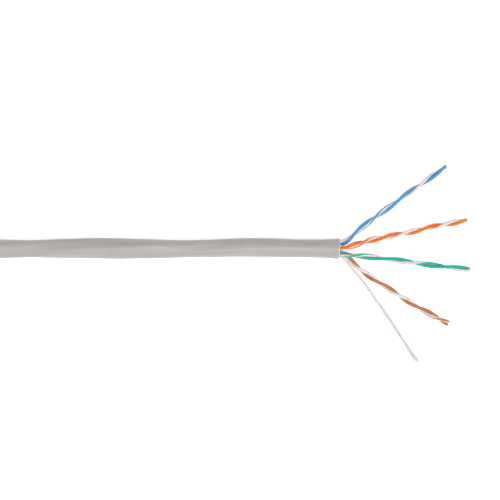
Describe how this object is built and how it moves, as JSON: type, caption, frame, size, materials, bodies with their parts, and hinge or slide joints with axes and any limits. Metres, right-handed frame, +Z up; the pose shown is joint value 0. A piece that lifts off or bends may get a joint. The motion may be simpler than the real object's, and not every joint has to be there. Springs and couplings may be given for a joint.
{
  "type": "twisted pair cable",
  "caption": "Stripped end of a round grey network cable, its twisted pairs fanned out flat beyond the jacket with a rip cord beside them.",
  "frame": {"origin": "centre of the jacket's open mouth, on the cable's axis", "axes": "+X out of the mouth along the bared pairs, -X back along the jacket, +Z up from the table the cable lies on, +Y to the side of the blue pair"},
  "size_m": [0.1337, 0.0559, 0.0054],
  "materials": {
    "jacket": "satin grey PVC",
    "blue": "smooth blue polyethylene",
    "orange": "smooth orange polyethylene",
    "green": "smooth green polyethylene",
    "brown": "smooth brown polyethylene",
    "white_blue": "white polyethylene with a blue stripe",
    "white_orange": "white polyethylene with an orange stripe",
    "white_green": "white polyethylene with a green stripe",
    "white_brown": "white polyethylene with a brown stripe",
    "copper": "bare bright copper",
    "rip_cord": "undyed polyester yarn"
  },
  "bodies": {
    "root": {"jacket": "jacket", "blue_insulation": "blue", "blue_core": "copper", "white_blue_insulation": "white_blue", "white_blue_core": "copper", "orange_insulation": "orange", "orange_core": "copper", "white_orange_insulation": "white_orange", "white_orange_core": "copper", "green_insulation": "green", "green_core": "copper", "white_green_insulation": "white_green", "white_green_core": "copper", "brown_insulation": "brown", "brown_core": "copper", "white_brown_insulation": "white_brown", "white_brown_core": "copper", "rip_cord": "rip_cord"}
  },
  "joints": []
}
